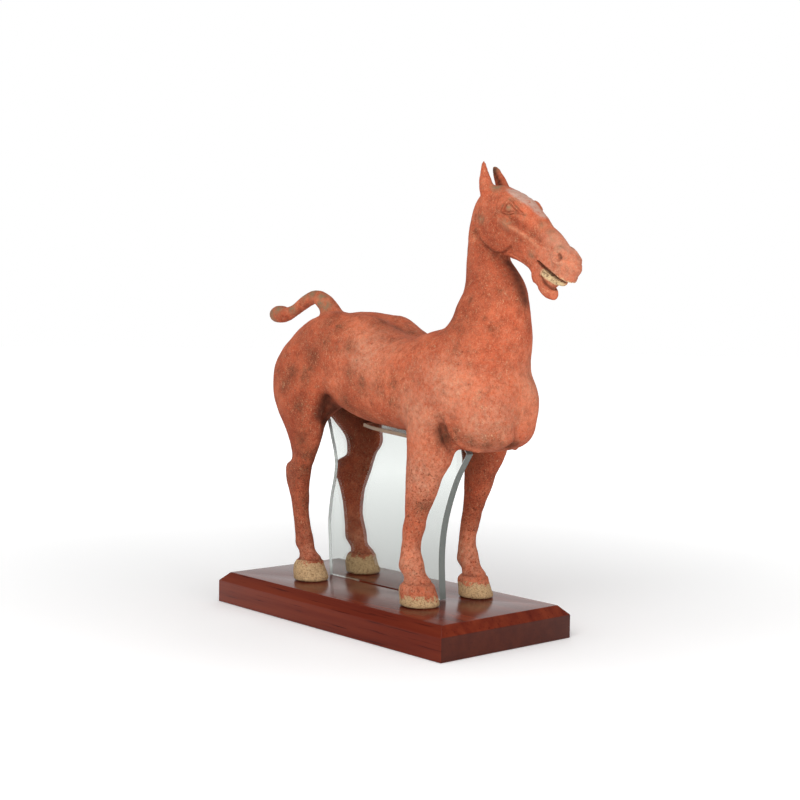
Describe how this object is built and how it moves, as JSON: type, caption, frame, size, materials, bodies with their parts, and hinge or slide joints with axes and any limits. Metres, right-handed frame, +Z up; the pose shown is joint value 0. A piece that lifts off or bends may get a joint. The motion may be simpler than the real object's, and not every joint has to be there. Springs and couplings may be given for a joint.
{
  "type": "pottery horse on a display base",
  "caption": "Standing red-painted pottery horse with a raised tail and open mouth, on a chamfered wooden base, held under the belly by a clear upright panel and a curved plate.",
  "frame": {"origin": "centre of the wooden base's underside", "axes": "+X the way the horse faces, along the base's length; +Y the horse's left, across the base; +Z up"},
  "size_m": [0.609, 0.228, 0.6078],
  "materials": {
    "painted_pottery": "matte",
    "polished_wood": "gloss",
    "clear_acrylic": "polished, clear"
  },
  "bodies": {
    "root": {"horse": "painted_pottery", "wood_base": "polished_wood", "support_panel": "clear_acrylic", "belly_cradle": "clear_acrylic"}
  },
  "joints": []
}
